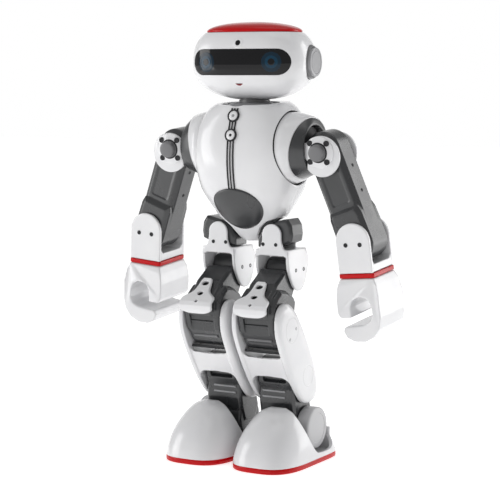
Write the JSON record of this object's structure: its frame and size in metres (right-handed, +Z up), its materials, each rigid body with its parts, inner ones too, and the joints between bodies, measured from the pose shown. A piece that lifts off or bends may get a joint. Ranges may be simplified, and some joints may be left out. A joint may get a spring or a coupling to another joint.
{
  "type": "walking humanoid robot",
  "caption": "Toy humanoid robot in white and dark grey plastic with a visor head, servo arms with hook hands, jointed legs and domed feet.",
  "frame": {"origin": "ground level midway between the feet, at the centre of the footprint", "axes": "+Z up, -Y the way the robot faces, +X its left side"},
  "size_m": [0.2556, 0.0992, 0.375],
  "materials": {
    "white_shell": "gloss moulded white plastic",
    "dark_body": "satin dark grey plastic",
    "black_visor": "high gloss black plastic",
    "red_trim": "glossy red plastic",
    "grey_trim": "satin mid grey plastic",
    "steel_horn": "brushed steel",
    "battery_wrap": "blue shrink wrap"
  },
  "bodies": {
    "torso": {"torso_front_shell": "white_shell", "torso_rear_shell": "white_shell", "chest_trim": "dark_body", "belly_plate": "dark_body", "torso_chassis": "dark_body", "battery_pack": "battery_wrap", "battery_door": "grey_trim", "neck_collar": "grey_trim", "shoulder_sleeve_left": "white_shell", "shoulder_cup_left": "dark_body", "shoulder_servo_left": "dark_body", "hip_housing_left": "dark_body", "shoulder_sleeve_right": "white_shell", "shoulder_cup_right": "dark_body", "shoulder_servo_right": "dark_body", "hip_housing_right": "dark_body"},
    "power_button": {"power_button": "red_trim"},
    "head": {"head_shell_front": "white_shell", "head_shell_rear": "white_shell", "head_cap": "red_trim", "visor": "black_visor", "ear_left": "grey_trim", "ear_right": "grey_trim", "neck_post": "grey_trim", "forehead_sensor": "black_visor", "mouth_insert": "red_trim"},
    "shoulder_left": {"shoulder_yoke_left": "white_shell", "shoulder_hub_left": "white_shell"},
    "upper_arm_left": {"upper_arm_left": "dark_body"},
    "forearm_left": {"elbow_horn_left": "steel_horn", "forearm_bracket_left": "white_shell", "wrist_band_left": "red_trim", "hand_left": "white_shell"},
    "hip_left": {"hip_yoke_left": "white_shell", "hip_horn_left": "steel_horn"},
    "thigh_left": {"thigh_left": "dark_body", "kneecap_left": "white_shell"},
    "shin_left": {"knee_horn_left": "steel_horn", "shin_frame_left": "white_shell"},
    "ankle_left": {"ankle_block_left": "dark_body"},
    "foot_left": {"foot_shell_left": "white_shell", "foot_sole_left": "red_trim"},
    "shoulder_right": {"shoulder_yoke_right": "white_shell", "shoulder_hub_right": "white_shell"},
    "upper_arm_right": {"upper_arm_right": "dark_body"},
    "forearm_right": {"elbow_horn_right": "steel_horn", "forearm_bracket_right": "white_shell", "wrist_band_right": "red_trim", "hand_right": "white_shell"},
    "hip_right": {"hip_yoke_right": "white_shell", "hip_horn_right": "steel_horn"},
    "thigh_right": {"thigh_right": "dark_body", "kneecap_right": "white_shell"},
    "shin_right": {"knee_horn_right": "steel_horn", "shin_frame_right": "white_shell"},
    "ankle_right": {"ankle_block_right": "dark_body"},
    "foot_right": {"foot_shell_right": "white_shell", "foot_sole_right": "red_trim"}
  },
  "joints": [
    {"name": "head_yaw", "type": "hinge", "parent": "torso", "child": "head", "pos_m": [0, 0.0115, 0.31], "axis": [0, 0, 1], "range_deg": [-60, 55]},
    {"name": "power_button_press", "type": "slide", "parent": "torso", "child": "power_button", "axis": [0, -1, 0], "range_m": [0, 0.0012], "stiffness_N_per_m": 400, "springref_m": -0.0005},
    {"name": "shoulder_pitch_left", "type": "hinge", "parent": "torso", "child": "shoulder_left", "pos_m": [0.0535, 0.009, 0.269], "axis": [1, 0, 0], "range_deg": [-120, 60]},
    {"name": "shoulder_roll_left", "type": "hinge", "parent": "shoulder_left", "child": "upper_arm_left", "pos_m": [0.073, 0.009, 0.269], "axis": [0, 0.9962, 0.0872], "range_deg": [-80, 8]},
    {"name": "elbow_left", "type": "hinge", "parent": "upper_arm_left", "child": "forearm_left", "pos_m": [0.10259, 0.01568, 0.1926], "axis": [0, -0.9962, -0.0872], "range_deg": [-25, 80]},
    {"name": "hip_roll_left", "type": "hinge", "parent": "torso", "child": "hip_left", "pos_m": [0.0265, 0.007, 0.188], "axis": [0, 1, 0], "range_deg": [-20, 1.5]},
    {"name": "hip_pitch_left", "type": "hinge", "parent": "hip_left", "child": "thigh_left", "pos_m": [0.0265, 0.0152, 0.165], "axis": [1, 0, 0], "range_deg": [-28, 35]},
    {"name": "knee_left", "type": "hinge", "parent": "thigh_left", "child": "shin_left", "pos_m": [0.0265, -0.011, 0.1135], "axis": [1, 0, 0], "range_deg": [-35, 45]},
    {"name": "ankle_pitch_left", "type": "hinge", "parent": "shin_left", "child": "ankle_left", "pos_m": [0.0265, 0.012, 0.076], "axis": [1, 0, 0], "range_deg": [-30, 30]},
    {"name": "ankle_roll_left", "type": "hinge", "parent": "ankle_left", "child": "foot_left", "pos_m": [0.0335, 0.015, 0.022], "axis": [0, 1, 0], "range_deg": [-5, 5]},
    {"name": "shoulder_pitch_right", "type": "hinge", "parent": "torso", "child": "shoulder_right", "pos_m": [-0.0535, 0.009, 0.269], "axis": [1, 0, 0], "range_deg": [-120, 60]},
    {"name": "shoulder_roll_right", "type": "hinge", "parent": "shoulder_right", "child": "upper_arm_right", "pos_m": [-0.073, 0.009, 0.269], "axis": [0, 0.9962, 0.0872], "range_deg": [-8, 80]},
    {"name": "elbow_right", "type": "hinge", "parent": "upper_arm_right", "child": "forearm_right", "pos_m": [-0.10259, 0.01568, 0.1926], "axis": [0, -0.9962, -0.0872], "range_deg": [-80, 25]},
    {"name": "hip_roll_right", "type": "hinge", "parent": "torso", "child": "hip_right", "pos_m": [-0.0265, 0.007, 0.188], "axis": [0, 1, 0], "range_deg": [-1.5, 20]},
    {"name": "hip_pitch_right", "type": "hinge", "parent": "hip_right", "child": "thigh_right", "pos_m": [-0.0265, 0.0152, 0.165], "axis": [1, 0, 0], "range_deg": [-28, 35]},
    {"name": "knee_right", "type": "hinge", "parent": "thigh_right", "child": "shin_right", "pos_m": [-0.0265, -0.011, 0.1135], "axis": [1, 0, 0], "range_deg": [-35, 45]},
    {"name": "ankle_pitch_right", "type": "hinge", "parent": "shin_right", "child": "ankle_right", "pos_m": [-0.0265, 0.012, 0.076], "axis": [1, 0, 0], "range_deg": [-30, 30]},
    {"name": "ankle_roll_right", "type": "hinge", "parent": "ankle_right", "child": "foot_right", "pos_m": [-0.0335, 0.015, 0.022], "axis": [0, 1, 0], "range_deg": [-5, 5]}
  ]
}
